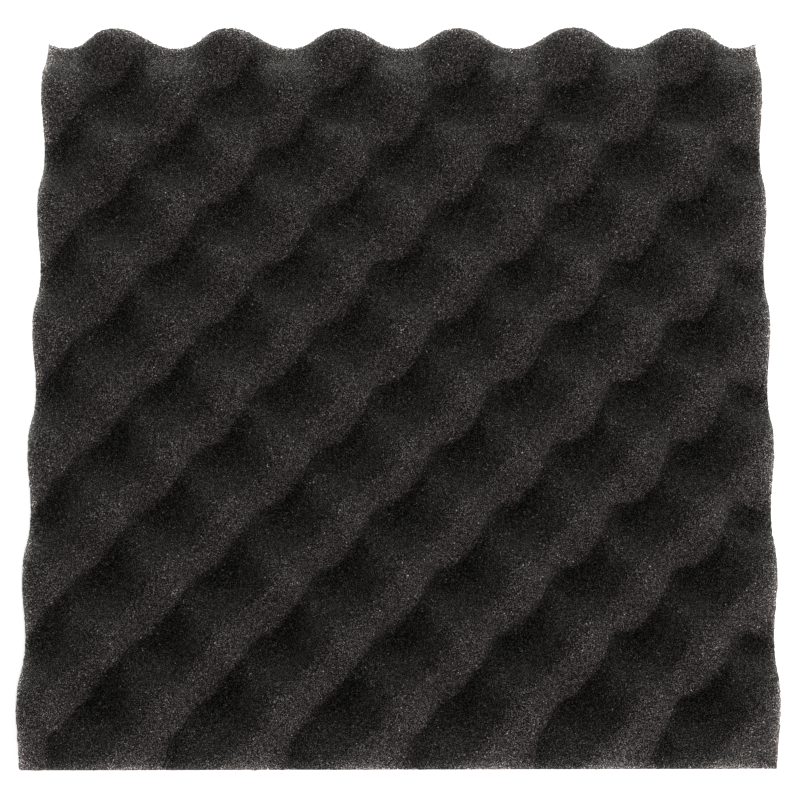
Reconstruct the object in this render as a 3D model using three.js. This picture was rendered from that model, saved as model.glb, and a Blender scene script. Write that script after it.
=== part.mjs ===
// Acoustic foam panel: one slab of open-cell foam with a flat back, four straight cut edges and a
// front face cut to an egg-crate profile of staggered round bumps and dips.
// Millimetres. The origin is the centre of the flat back and +Z points out of the profiled face.
import * as THREE from "three";

// The slab
const panelWidth = 300; // along X
const panelLength = 305; // along Y
const baseThickness = 13; // solid foam behind the deepest point of a dip

// The egg-crate profile
const profileDepth = 22; // from the bottom of a dip to the top of a bump
const pitchAcross = 47.8; // from bump to bump along X
const pitchAlong = 51.4; // from bump to bump along Y
const profileShift = -1.4; // of the middle dip from the panel's centre along Y, as the tile was trimmed
const bluntingShare = -0.045; // of the wave's height: flattens tops and dips, steepens the flanks

// The mesh of the profiled face
const cellsPerPitch = 8;
const leastEndCellShare = 0.5; // of a cell, so that no sliver is left along a cut edge

const foamColour = 0x2a2826;
const foamRoughness = 1;

// Height of the profiled face above the back. The middle dip lies profileShift from the panel's
// centre, and the left and right halves of the panel match.
function faceHeight(x, y) {
  const across = (2 * Math.PI * x) / pitchAcross;
  const along = (2 * Math.PI * (y - profileShift)) / pitchAlong;
  const wave = Math.cos(across) * Math.cos(along);
  const blunting = Math.cos(3 * across) * Math.cos(along) + Math.cos(across) * Math.cos(3 * along);
  const dipToBump = (1 - (wave + bluntingShare * blunting) / (1 + 2 * bluntingShare)) / 2;
  return baseThickness + profileDepth * dipToBump;
}

// Places of the mesh lines along one side of the panel. They are counted from the middle dip, so a
// line runs through each bump and dip, and one more lies on each cut edge.
function meshLines(size, pitch, middle) {
  const cell = pitch / cellsPerPitch;
  const half = size / 2;
  const reach = half - leastEndCellShare * cell;
  const first = Math.ceil((-reach - middle) / cell);
  const last = Math.floor((reach - middle) / cell);
  const count = Math.max(0, last - first + 1);
  const inner = Array.from({ length: count }, (_, i) => middle + (first + i) * cell);
  return [-half, ...inner, half];
}

// Two triangles for one cell of the face, split along the diagonal that lies nearer to the wave.
function cellTriangles(points, corners) {
  const [a, b, c, d] = corners;
  const middle = points[a].clone().add(points[c]).divideScalar(2);
  const wanted = faceHeight(middle.x, middle.y);
  const otherHeight = (points[b].z + points[d].z) / 2;
  if (Math.abs(middle.z - wanted) <= Math.abs(otherHeight - wanted)) {
    return [a, b, c, a, c, d];
  }
  return [a, b, d, b, c, d];
}

// Numbers of the face's points round the panel's rim, anticlockwise seen from the front.
function rimNumbers(columns, rows) {
  const lastColumn = columns - 1;
  const lastRow = rows - 1;
  const rim = [];
  for (let i = 0; i < lastColumn; i += 1) rim.push(i);
  for (let j = 0; j < lastRow; j += 1) rim.push(j * columns + lastColumn);
  for (let i = lastColumn; i > 0; i -= 1) rim.push(lastRow * columns + i);
  for (let j = lastRow; j > 0; j -= 1) rim.push(j * columns);
  return rim;
}

// The whole slab as one closed body: the profiled face, the cut edges and the flat back.
function foamGeometry() {
  const xs = meshLines(panelWidth, pitchAcross, 0);
  const ys = meshLines(panelLength, pitchAlong, profileShift);
  const points = ys.flatMap((y) => xs.map((x) => new THREE.Vector3(x, y, faceHeight(x, y))));
  const triangles = [];
  for (let j = 0; j < ys.length - 1; j += 1) {
    for (let i = 0; i < xs.length - 1; i += 1) {
      const corner = j * xs.length + i;
      const above = corner + xs.length;
      triangles.push(...cellTriangles(points, [corner, corner + 1, above + 1, above]));
    }
  }

  const rim = rimNumbers(xs.length, ys.length);
  const firstBack = points.length;
  rim.forEach((number) => points.push(new THREE.Vector3(points[number].x, points[number].y, 0)));
  const backCentre = points.length;
  points.push(new THREE.Vector3(0, 0, 0));
  rim.forEach((front, i) => {
    const next = (i + 1) % rim.length;
    const back = firstBack + i;
    const nextBack = firstBack + next;
    triangles.push(back, nextBack, rim[next], back, rim[next], front);
    triangles.push(backCentre, nextBack, back);
  });

  const geometry = new THREE.BufferGeometry().setFromPoints(points);
  geometry.setIndex(triangles);
  geometry.computeVertexNormals();
  return geometry;
}

function foamPanel() {
  const material = new THREE.MeshStandardMaterial({
    color: foamColour,
    roughness: foamRoughness,
    metalness: 0,
  });
  const mesh = new THREE.Mesh(foamGeometry(), material);
  mesh.name = "foam_panel";
  return mesh;
}

const acousticPanel = new THREE.Group();
acousticPanel.name = "acoustic_panel";
acousticPanel.add(foamPanel());

export default acousticPanel;
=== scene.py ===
# The looks of an acoustic foam panel: a slab of charcoal open-cell foam with an egg-crate face.
# Lengths are in metres, powers in watts and angles in degrees, unless a comment says otherwise.
# The slab's sides and thickness come from the frame.
import math
import bpy
import numpy as np
from mathutils import Matrix, Vector, noise


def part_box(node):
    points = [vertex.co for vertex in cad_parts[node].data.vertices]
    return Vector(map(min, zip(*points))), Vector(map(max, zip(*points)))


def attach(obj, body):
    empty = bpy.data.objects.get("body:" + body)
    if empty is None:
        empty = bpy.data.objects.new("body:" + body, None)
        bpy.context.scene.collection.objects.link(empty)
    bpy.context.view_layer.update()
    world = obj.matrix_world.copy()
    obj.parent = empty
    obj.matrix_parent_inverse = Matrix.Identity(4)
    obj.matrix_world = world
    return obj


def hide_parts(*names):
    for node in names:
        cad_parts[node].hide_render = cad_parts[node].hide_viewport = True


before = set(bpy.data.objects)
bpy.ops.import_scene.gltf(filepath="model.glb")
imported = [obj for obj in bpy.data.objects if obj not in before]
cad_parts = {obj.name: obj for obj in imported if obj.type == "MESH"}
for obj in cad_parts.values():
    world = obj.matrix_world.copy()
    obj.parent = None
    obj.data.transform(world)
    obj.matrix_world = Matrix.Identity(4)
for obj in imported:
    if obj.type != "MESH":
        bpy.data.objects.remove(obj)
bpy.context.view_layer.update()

MM = 0.001
PANEL = "foam_panel"
HIGH_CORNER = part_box(PANEL)[1]
HALF_WIDTH = HIGH_CORNER.x
HALF_LENGTH = HIGH_CORNER.y
TOP = HIGH_CORNER.z

# The egg-crate profile
BASE_THICKNESS = 13 * MM
PROFILE_DEPTH = TOP - BASE_THICKNESS
PITCH_ACROSS = 47.8 * MM
PITCH_ALONG = 51.4 * MM
PROFILE_SHIFT = -1.4 * MM  # of the middle dip from the panel's centre, along Y
BLUNTING_SHARE = -0.045  # of the wave's height; below zero it sharpens the bumps and dips
BLUNTING_WAVES = 3  # in each pitch

# The foam's own unevenness
RUN_OUT = 0.5 * MM  # how far a bump stands from its even place
RUN_OUT_LENGTH = 70 * MM
DEPTH_SWING_SHARE = 0.05
DEPTH_SWING_LENGTH = 55 * MM
LUMP_LENGTH = 5.5 * MM
LUMP_HEIGHT = 0.08 * MM
ACROSS_LAYER, ALONG_LAYER, DEPTH_LAYER, LUMP_LAYER = range(1, 5)  # of the noise, one for each use
TORN_CELL = 0.02 * MM  # about how far single points of the face stand out
TORN_RIM = 0.1 * MM  # and those of the rim

# The cut edges, which aren't quite straight
OVERSIZE = 0.35 * MM  # each edge is cut a little long
REAR_SPREAD = 0.3 * MM  # and the rear end is wider by this on each side, the front end narrower
SIDE_BOW = 0.6 * MM  # both long edges bend towards +X halfway along
CORNER_REACH = 1.0 * MM  # the rear corners are drawn out
CORNER_SHARPNESS = 40  # the higher, the nearer to the corner
FRONT_DROP = 0.35 * MM  # the front edge is cut longer still
FRONT_SKEW = 0.85 * MM  # and out of square, longer at its left end
FRONT_LEAN_SHARE = 0.137  # and aslant: how far its upper rim stands out, of the rim's height
LEAN_REACH = 25 * MM  # how far behind the front edge the face is drawn forward with it

# The slab's mesh
FACE_CELL = 1.13 * MM
WALL_ROWS = 12
SLAB_SEED = 7

# Loose ends of cut struts along the rim
STRUT_SPACING = 0.32 * MM
STRUT_THICKNESS = 0.12 * MM
SIDE_STRUT_LENGTH = 0.8 * MM
FRONT_STRUT_LENGTH = 0.35 * MM
REAR_STRUT_SPACING = 0.7 * MM
REAR_STRUT_THICKNESS = 0.42 * MM
REAR_STRUT_LENGTH = 1.2 * MM
SHORTEST_STRUT_SHARE = 0.3  # of the full length
SIDEWAYS_LEAN_SHARE = 0.5  # about how far a strut leans to one side, of how far it points outwards
RISE_SHARE = 0.2  # how far it points upwards, of the same, on average
RISE_SPREAD_SHARE = 0.4  # and how much that differs from strut to strut
STRUT_SEED = 8
SPIKE_FACES = ((0, 1, 3), (1, 2, 3), (2, 0, 3), (0, 2, 1))  # its tip is corner 3

# Each edge's loose struts: the way they point, their spacing, length and thickness
LOOSE_STRUTS = (
    ((0, -1), STRUT_SPACING, FRONT_STRUT_LENGTH, STRUT_THICKNESS),
    ((0, 1), REAR_STRUT_SPACING, REAR_STRUT_LENGTH, REAR_STRUT_THICKNESS),
    ((-1, 0), STRUT_SPACING, SIDE_STRUT_LENGTH, STRUT_THICKNESS),
    ((1, 0), STRUT_SPACING, SIDE_STRUT_LENGTH, STRUT_THICKNESS),
)

# The open cells
CELL_SIZE = 0.7 * MM
STRUT_WIDTH = 0.17 * MM
STRUT_BUMP_SHARE = 0.5  # of the bump that struts as high as they are wide would make
SPECK_SIZE = 0.33 * MM
EVENING_SHARE = 0.6  # how far specks with bright neighbours are held back
BLENDING_SHARE = 1.0  # how softly the neighbours' tones run together
MIDDLE_SHARE = 0.5  # the average of random tones
HIGHEST_SPECK_SHARE = 1.2  # no speck's tone goes over it before the power
SPECK_POWER = 7.0  # the higher, the fewer bright specks
BRIGHT_SPECK_SHARE = 15.0  # of the strut tone
DULL_SPECK_SHARE = 0.15
# Painted glints: a few small light dots in the colour, as highlights on shiny struts
GLINT_CELL = 0.8 * MM
GLINT_RADIUS = 0.32 * MM
GLINT_SHARE = 0.02
BLOTCH_SIZE = 12 * MM
BLOTCH_DETAIL = 2.0
BLOTCH_SWING_SHARE = 0.08  # how much lighter or darker than the average
BLOTCH_NOISE_SHARES = (0.3, 0.7)  # where in the noise the darkest and the lightest lie

# Colours and tones, by how much of the light a surface sends back
# Painted shade: the pores are this dark, for the shade inside the open cells
PAINTED_PORE_SHADE = 0.0042
STRUT_TONE = 0.037
FOAM_TINT_SHARES = (1.045, 1.0, 0.93)  # of the tone, in red, green and blue
PAINTED_GLINT_COLOUR = (0.85, 0.83, 0.8, 1)
# Painted light: the loose strut ends are lighter than the foam, for the light they catch at the rim
STRUT_END_PAINTED_LIGHT_COLOUR = (0.08, 0.077, 0.073, 1)
FLOOR_COLOUR = (0.9, 0.9, 0.9, 1)
WHITE = (1, 1, 1, 1)
MATTE = 1.0
NO_SHINE = 0.0

# Painted light near the cut edges, for light let through by the torn cells at the rim: how much lighter
# the face is painted right at each edge, as a share of the foam's own tone, and how far inwards that
# reaches
LEFT_GLOW_SHARE = 6.3
RIGHT_GLOW_SHARE = 5.0
REAR_GLOW_SHARE = 6.0
FRONT_GLOW_SHARE = 3.8
GLOW_REACH = 1.1 * MM
WIDE_GLOW_SHARE = 0.16  # a wider glow comes on top, of the first one's strength
WIDE_GLOW_REACH = 4.5 * MM
# Painted light on the cut walls: they are made lighter all over, in place of the edges' painted light
WALL_PAINTED_LIGHT_SHARE = 1.3  # the cut walls are as light as this all over
WALL_STEEPNESS_SHARE = 0.25  # a wall's normal points upwards by less than this

# The camera, high up and a little in front of the panel
CAMERA_PLACE = (0.014997, -0.299613, 1.08761)
CAMERA_TURN = 0.04994  # radians, round the upright line
CAMERA_TILT = 0.26977  # radians, from straight down
CAMERA_ROLL = -0.04658  # radians, round the line of sight
SENSOR_WIDTH = 36  # millimetres
LENS = 121.83  # millimetres
MATRIX_SIZE = 4

# The floor and the light of the room
FLOOR_HALF = 3.0
FLOOR_GLOW = 0.6
SKY_STRENGTH = 0.445

# The lights' distances from the panel's centre, and their widths and heights
KEY_DISTANCE = 1.4
LOW_KEY_DISTANCE = 1.35
BACK_DISTANCE = 0.68
BACK_RIGHT_DISTANCE = 0.7
STRIP_DISTANCE = 0.9
KEY_SIZE = (0.12, 0.12)
SECOND_KEY_SIZE = (0.05, 0.05)
LOW_KEY_SIZE = (0.4, 0.4)
SOFTBOX_SIZE = (0.25, 0.25)
STRIP_SIZE = (0.5, 0.05)
PLAIN_LIGHT = (1, 1, 1)
KEY_LIGHT = (1.12, 1.0, 1.04)

# Each light's name, azimuth from +X towards +Y, elevation, distance, size, power and colour
SOFTBOXES = (
    ("front_right_key", 304, 21, KEY_DISTANCE, KEY_SIZE, 12.0, KEY_LIGHT),
    ("front_right_second", 310, 19, KEY_DISTANCE, SECOND_KEY_SIZE, 3.0, KEY_LIGHT),
    ("front_right_low", 324, 9, LOW_KEY_DISTANCE, LOW_KEY_SIZE, 5.4, PLAIN_LIGHT),
    ("back_left_high", 126, 40, BACK_DISTANCE, SOFTBOX_SIZE, 1.18, PLAIN_LIGHT),
    ("back_right", 30, 30, BACK_RIGHT_DISTANCE, SOFTBOX_SIZE, 0.72, PLAIN_LIGHT),
    ("back", 78, 32, BACK_DISTANCE, SOFTBOX_SIZE, 0.75, PLAIN_LIGHT),
    ("back_low", 94, 2, STRIP_DISTANCE, STRIP_SIZE, 9.0, PLAIN_LIGHT),
    ("back_right_low", 33, 2, STRIP_DISTANCE, STRIP_SIZE, 2.3, PLAIN_LIGHT),
    ("back_left_low", 150, 2, STRIP_DISTANCE, STRIP_SIZE, 1.1, PLAIN_LIGHT),
)


def add_to_scene(name, data):
    thing = bpy.data.objects.new(name, data)
    bpy.context.scene.collection.objects.link(thing)
    return thing


def face_height(x, y):
    """Height of the even egg-crate wave over the back."""
    across = 2 * math.pi * x / PITCH_ACROSS
    along = 2 * math.pi * (y - PROFILE_SHIFT) / PITCH_ALONG
    wave = math.cos(across) * math.cos(along)
    blunting = math.cos(BLUNTING_WAVES * across) * math.cos(along)
    blunting += math.cos(across) * math.cos(BLUNTING_WAVES * along)
    dip_to_bump = (1 - (wave + BLUNTING_SHARE * blunting) / (1 + 2 * BLUNTING_SHARE)) / 2
    return BASE_THICKNESS + PROFILE_DEPTH * dip_to_bump


def uneven(place, length, layer):
    """Smooth noise from -1 to 1 that changes over the given length."""
    return noise.noise(Vector((place[0], place[1], layer * length)) / length)


def foam_height(x, y):
    """The face as the foam really is: the wave's bumps stand a little off their places."""
    place = (x, y)
    moved_x = x + RUN_OUT * uneven(place, RUN_OUT_LENGTH, ACROSS_LAYER)
    moved_y = y + RUN_OUT * uneven(place, RUN_OUT_LENGTH, ALONG_LAYER)
    over_base = face_height(moved_x, moved_y) - BASE_THICKNESS
    over_base *= 1 + DEPTH_SWING_SHARE * uneven(place, DEPTH_SWING_LENGTH, DEPTH_LAYER)
    return BASE_THICKNESS + over_base + LUMP_HEIGHT * uneven(place, LUMP_LENGTH, LUMP_LAYER)


def out_of_square(x, y):
    """Where a place of the even panel lies between edges that aren't quite straight."""
    rear_share = y / HALF_LENGTH
    right_share = x / HALF_WIDTH
    halfway_share = 1 - rear_share ** 2
    front_share = (1 - rear_share) / 2
    corner_share = (max(rear_share, 0) * abs(right_share)) ** CORNER_SHARPNESS
    return (
        x + SIDE_BOW * halfway_share + (OVERSIZE + REAR_SPREAD * rear_share) * right_share,
        y + (FRONT_SKEW * right_share - FRONT_DROP) * front_share + OVERSIZE * rear_share
        + CORNER_REACH * corner_share,
    )


def leaned(place):
    """The same place after the slanting cut of the front edge."""
    x, y, z = place
    back_share = min(max((y + HALF_LENGTH) / LEAN_REACH, 0), 1)
    return x, y - FRONT_LEAN_SHARE * z * (1 - back_share) ** 2, z


def even_places(half, cell):
    """Places from one edge to the other, about a cell apart."""
    count = round(2 * half / cell)
    return [-half + 2 * half * i / count for i in range(count + 1)]


def face_quads(columns, rows):
    quads = []
    for j in range(rows - 1):
        for i in range(columns - 1):
            corner = j * columns + i
            quads.append((corner, corner + 1, corner + columns + 1, corner + columns))
    return quads


def rim_numbers(columns, rows):
    """Numbers of the face's points round its rim, anticlockwise seen from above."""
    front = list(range(columns - 1))
    right = [j * columns + columns - 1 for j in range(rows - 1)]
    rear = [(rows - 1) * columns + i for i in range(columns - 1, 0, -1)]
    left = [j * columns for j in range(rows - 1, 0, -1)]
    return front + right + rear + left


def add_walls_and_back(rim, points, uncut, faces):
    """Rows of points go straight down from the rim, and the last row closes the back."""
    above = rim
    for row in range(1, WALL_ROWS + 1):
        below = []
        for number in rim:
            x, y, z = points[number]
            below.append(len(points))
            points.append((x, y, z * (1 - row / WALL_ROWS)))
            uncut.append(uncut[number])
        for i in range(len(rim)):
            after = (i + 1) % len(rim)
            faces.append((above[i], below[i], below[after], above[after]))
        above = below
    faces.append(tuple(reversed(above)))


def torn(places, rim):
    """The same places with single cells torn out a little, most of all along the rim."""
    tears = np.random.default_rng(SLAB_SEED).normal(0, TORN_CELL, places.shape)
    tears[rim] *= TORN_RIM / TORN_CELL
    tears[places[:, 2] == 0] = 0
    return places + tears


def foam_mesh():
    """One closed skin: the profiled face, the cut edges and the flat back."""
    xs = even_places(HALF_WIDTH, FACE_CELL)
    ys = even_places(HALF_LENGTH, FACE_CELL)
    uncut = [(x, y, 0.0) for y in ys for x in xs]
    points = [(*out_of_square(x, y), foam_height(x, y)) for y in ys for x in xs]
    faces = face_quads(len(xs), len(ys))
    rim = rim_numbers(len(xs), len(ys))
    add_walls_and_back(rim, points, uncut, faces)
    places = torn(np.array([leaned(point) for point in points]), rim)

    mesh = bpy.data.meshes.new("charcoal_foam_slab")
    mesh.from_pydata(places.tolist(), [], faces)
    mesh.validate()
    for face in mesh.polygons:
        face.use_smooth = True
    uncut_place = mesh.attributes.new("uncut_place", "FLOAT_VECTOR", "POINT")
    uncut_place.data.foreach_set("vector", np.array(uncut).ravel())
    return mesh


class Shade:
    """Adds nodes to one material and joins them."""

    def __init__(self, name):
        self.material = bpy.data.materials.new(name)
        self.material.use_nodes = True
        self.tree = self.material.node_tree
        self.shader = self.tree.nodes["Principled BSDF"]

    def feed(self, socket, value):
        """Links an output to the socket, or sets a number or colour on it."""
        if isinstance(value, bpy.types.NodeSocket):
            self.tree.links.new(value, socket)
        else:
            socket.default_value = value

    def give(self, name, value):
        """Feeds one of the shader's own inputs."""
        self.feed(self.shader.inputs[name], value)

    def place(self):
        return self.tree.nodes.new("ShaderNodeTexCoord").outputs["Object"]

    def maths(self, operation, first, second=0.0, third=0.0):
        node = self.tree.nodes.new("ShaderNodeMath")
        node.operation = operation
        for socket, value in zip(node.inputs, (first, second, third)):
            self.feed(socket, value)
        return node.outputs[0]

    def parts(self, kind, whole):
        """Outputs of a node that takes a vector or a colour apart."""
        node = self.tree.nodes.new(kind)
        self.feed(node.inputs[0], whole)
        return node.outputs

    def axes(self, vector):
        return self.parts("ShaderNodeSeparateXYZ", vector)

    def channels(self, colour):
        return self.parts("ShaderNodeSeparateColor", colour)

    def cells(self, place, size, feature="F1"):
        node = self.tree.nodes.new("ShaderNodeTexVoronoi")
        node.feature = feature
        self.feed(node.inputs["Vector"], place)
        node.inputs["Scale"].default_value = 1 / size
        return node

    def clouds(self, place, size, detail):
        node = self.tree.nodes.new("ShaderNodeTexNoise")
        self.feed(node.inputs["Vector"], place)
        node.inputs["Scale"].default_value = 1 / size
        node.inputs["Detail"].default_value = detail
        return node.outputs["Fac"]

    def spread(self, value, low, high, to_low, to_high, smooth=False):
        """Moves the stretch from low to high onto the one from to_low to to_high."""
        node = self.tree.nodes.new("ShaderNodeMapRange")
        node.interpolation_type = "SMOOTHSTEP" if smooth else "LINEAR"
        for name, given in (
            ("Value", value),
            ("From Min", low),
            ("From Max", high),
            ("To Min", to_low),
            ("To Max", to_high),
        ):
            self.feed(node.inputs[name], given)
        return node.outputs[0]

    def mixed(self, data_type, socket_type, share, first, second):
        node = self.tree.nodes.new("ShaderNodeMix")
        node.data_type = data_type
        factor, *others = node.inputs
        first_in, second_in = [socket for socket in others if socket.type == socket_type]
        for socket, value in ((factor, share), (first_in, first), (second_in, second)):
            self.feed(socket, value)
        return next(socket for socket in node.outputs if socket.type == socket_type)

    def mixed_number(self, share, first, second):
        return self.mixed("FLOAT", "VALUE", share, first, second)

    def mixed_colour(self, share, first, second):
        return self.mixed("RGBA", "RGBA", share, first, second)


def wall_share(shade):
    """1 on the cut walls and 0 on the face."""
    geometry = shade.tree.nodes.new("ShaderNodeNewGeometry")
    upwards = shade.maths("ABSOLUTE", shade.axes(geometry.outputs["True Normal"])["Z"])
    return shade.maths("LESS_THAN", upwards, WALL_STEEPNESS_SHARE)


def painted_edge_light(shade):
    """Painted light: how much lighter the colour is made near the cut edges than far from them, for
    light let through by torn cells at the rim.
    """
    uncut = shade.tree.nodes.new("ShaderNodeAttribute")
    uncut.attribute_name = "uncut_place"
    place = shade.axes(uncut.outputs["Vector"])
    on_face = 1.0
    for strength, axis, inwards, half in (
        (LEFT_GLOW_SHARE, "X", 1.0, HALF_WIDTH),
        (RIGHT_GLOW_SHARE, "X", -1.0, HALF_WIDTH),
        (REAR_GLOW_SHARE, "Y", -1.0, HALF_LENGTH),
        (FRONT_GLOW_SHARE, "Y", 1.0, HALF_LENGTH),
    ):
        from_edge = shade.maths("MULTIPLY_ADD", place[axis], inwards, half)
        for glow, reach in ((strength, GLOW_REACH), (strength * WIDE_GLOW_SHARE, WIDE_GLOW_REACH)):
            faded = shade.maths("EXPONENT", shade.maths("DIVIDE", from_edge, -reach))
            on_face = shade.maths("ADD", on_face, shade.maths("MULTIPLY", faded, glow))
    return shade.mixed_number(wall_share(shade), on_face, WALL_PAINTED_LIGHT_SHARE)


def cell_struts(shade, place):
    """1 along the walls between open cells, 0 in their pores."""
    walls = shade.cells(place, CELL_SIZE, "DISTANCE_TO_EDGE")
    return shade.spread(walls.outputs["Distance"], 0.0, STRUT_WIDTH / CELL_SIZE, 1.0, 0.0, smooth=True)


def speck_tone(shade, place):
    """Tone of one speck of strut: mostly dull, a few bright, and bright ones seldom side by side."""
    tone = shade.channels(shade.cells(place, SPECK_SIZE).outputs["Color"])["Red"]
    around = shade.cells(place, SPECK_SIZE, "SMOOTH_F1")
    around.inputs["Smoothness"].default_value = BLENDING_SHARE
    tone_around = shade.channels(around.outputs["Color"])["Red"]
    over_average = shade.maths("SUBTRACT", tone_around, MIDDLE_SHARE)
    evened = shade.maths("SUBTRACT", tone, shade.maths("MULTIPLY", over_average, EVENING_SHARE))
    held = shade.maths("MINIMUM", shade.maths("MAXIMUM", evened, 0.0), HIGHEST_SPECK_SHARE)
    bright = shade.maths("MULTIPLY", shade.maths("POWER", held, SPECK_POWER), BRIGHT_SPECK_SHARE)
    return shade.maths("ADD", bright, DULL_SPECK_SHARE)


def blotches(shade, place):
    """Soft patches where the foam is a little lighter or darker."""
    clouds = shade.clouds(place, BLOTCH_SIZE, BLOTCH_DETAIL)
    return shade.spread(clouds, *BLOTCH_NOISE_SHARES, 1 - BLOTCH_SWING_SHARE, 1 + BLOTCH_SWING_SHARE)


def foam_colour(shade, place, strut):
    tone = shade.maths("MULTIPLY", shade.maths("MULTIPLY", strut, speck_tone(shade, place)), STRUT_TONE)
    tone = shade.maths("ADD", tone, PAINTED_PORE_SHADE)
    tone = shade.maths("MULTIPLY", tone, painted_edge_light(shade))
    tone = shade.maths("MULTIPLY", tone, blotches(shade, place))
    colour = shade.tree.nodes.new("ShaderNodeCombineColor")
    for socket, tint_share in zip(colour.inputs, FOAM_TINT_SHARES):
        shade.feed(socket, shade.maths("MULTIPLY", tone, tint_share))
    return colour.outputs[0]


def painted_glints(shade, place):
    """Painted highlights: small round dots of light in the colour of a few cells, some brighter than
    others.
    """
    cells = shade.cells(place, GLINT_CELL)
    chance = shade.channels(cells.outputs["Color"])
    chosen = shade.maths("LESS_THAN", chance["Red"], GLINT_SHARE)
    dot = shade.spread(cells.outputs["Distance"], 0.0, GLINT_RADIUS / GLINT_CELL, 1.0, 0.0)
    return shade.maths("MULTIPLY", shade.maths("MULTIPLY", chosen, dot), chance["Green"])


def strut_bump(shade, strut):
    bump = shade.tree.nodes.new("ShaderNodeBump")
    bump.inputs["Strength"].default_value = STRUT_BUMP_SHARE
    bump.inputs["Distance"].default_value = STRUT_WIDTH
    shade.feed(bump.inputs["Height"], strut)
    return bump.outputs[0]


def foam_material():
    """Open cells in section: pores painted dark as their shade, between lighter struts, with a few
    painted glints.
    """
    shade = Shade("charcoal_foam")
    place = shade.place()
    strut = cell_struts(shade, place)
    colour = foam_colour(shade, place, strut)
    shade.give("Base Color", shade.mixed_colour(painted_glints(shade, place), colour, PAINTED_GLINT_COLOUR))
    shade.give("Roughness", MATTE)
    shade.give("Specular IOR Level", NO_SHINE)
    shade.give("Normal", strut_bump(shade, strut))
    return shade.material


# Painted light: one colour, lighter than the foam's own tone, for the light at the rim
def strut_end_material():
    shade = Shade("cut_strut_ends")
    shade.give("Base Color", STRUT_END_PAINTED_LIGHT_COLOUR)
    shade.give("Roughness", MATTE)
    return shade.material


def floor_material():
    shade = Shade("white_table")
    shade.give("Base Color", FLOOR_COLOUR)
    shade.give("Roughness", MATTE)
    shade.give("Specular IOR Level", NO_SHINE)
    shade.give("Emission Color", WHITE)
    shade.give("Emission Strength", FLOOR_GLOW)
    return shade.material


def make_slab():
    panel = add_to_scene("charcoal_foam_slab", foam_mesh())
    panel.data.materials.append(foam_material())
    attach(panel, "root")
    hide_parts(PANEL)


def rim_place(way_x, way_y, moving):
    """The place on the rim of the edge that faces this way, so far from the edge's middle."""
    x = way_x * HALF_WIDTH + abs(way_y) * moving
    y = way_y * HALF_LENGTH + abs(way_x) * moving
    return Vector(leaned((*out_of_square(x, y), foam_height(x, y))))


def strut_corners(chance, base, out, length, thickness):
    """Corners of one loose strut, a three-sided spike that starts a little inside the foam."""
    side = Vector((-out.y, out.x, 0))
    sideways = chance.normal(0, SIDEWAYS_LEAN_SHARE)
    rise = chance.normal(RISE_SHARE, RISE_SPREAD_SHARE)
    way = (out + side * sideways + Vector((0, 0, rise))).normalized()
    tip = base + way * length * chance.uniform(SHORTEST_STRUT_SHARE, 1)
    back = base - out * thickness
    half = thickness / 2
    up = Vector((0, 0, half))
    return [back + side * half - up, back - side * half - up, back + up, tip]


def make_strut_ends():
    """Loose ends of cut struts that stand out along the rim."""
    chance = np.random.default_rng(STRUT_SEED)
    points, faces = [], []
    for (way_x, way_y), spacing, length, thickness in LOOSE_STRUTS:
        out = Vector((way_x, way_y, 0))
        half = HALF_WIDTH if way_y else HALF_LENGTH
        for step in range(round(2 * half / spacing)):
            moving = -half + spacing * (step + chance.uniform(0, 1))
            base = rim_place(way_x, way_y, moving)
            first = len(points)
            points += strut_corners(chance, base, out, length, thickness)
            faces += [[first + corner for corner in face] for face in SPIKE_FACES]
    mesh = bpy.data.meshes.new("cut_strut_ends")
    mesh.from_pydata([tuple(point) for point in points], [], faces)
    mesh.materials.append(strut_end_material())
    ends = add_to_scene("cut_strut_ends", mesh)
    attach(ends, "root")


def make_floor():
    """A plain white floor that glows a little, so that no shadow shows."""
    corners = [(-FLOOR_HALF, -FLOOR_HALF, 0), (FLOOR_HALF, -FLOOR_HALF, 0)]
    corners += [(FLOOR_HALF, FLOOR_HALF, 0), (-FLOOR_HALF, FLOOR_HALF, 0)]
    mesh = bpy.data.meshes.new("floor")
    mesh.from_pydata(corners, [], [range(len(corners))])
    mesh.materials.append(floor_material())
    floor = add_to_scene("floor", mesh)


def make_softbox(name, azimuth, elevation, distance, size, power, colour):
    """A soft light that faces the panel's centre."""
    turn, rise = math.radians(azimuth), math.radians(elevation)
    towards = Vector((math.cos(turn) * math.cos(rise), math.sin(turn) * math.cos(rise), math.sin(rise)))
    light = bpy.data.lights.new(name, "AREA")
    light.shape = "RECTANGLE"
    light.size, light.size_y = size
    light.energy = power
    light.color = colour
    lamp = add_to_scene(name, light)
    lamp.location = towards * distance
    lamp.rotation_euler = towards.to_track_quat("Z", "Y").to_euler()


def make_light():
    """Soft light from all round, and the softboxes."""
    world = bpy.data.worlds.new("soft_room")
    bpy.context.scene.world = world
    world.use_nodes = True
    background = world.node_tree.nodes["Background"]
    background.inputs["Color"].default_value = WHITE
    background.inputs["Strength"].default_value = SKY_STRENGTH
    for row in SOFTBOXES:
        make_softbox(*row)


def make_camera():
    """Looks down on the panel, a little from the front."""
    camera = bpy.data.cameras.new("camera")
    camera.sensor_width = SENSOR_WIDTH
    camera.lens = LENS
    stand = Matrix.Translation(CAMERA_PLACE)
    for angle, axis in ((CAMERA_TURN, "Z"), (CAMERA_TILT, "X"), (CAMERA_ROLL, "Z")):
        stand = stand @ Matrix.Rotation(angle, MATRIX_SIZE, axis)
    holder = add_to_scene("camera", camera)
    holder.matrix_world = stand
    bpy.context.scene.camera = holder


make_camera()
make_slab()
make_strut_ends()
make_floor()
make_light()
bpy.context.scene.view_settings.view_transform = "Standard"
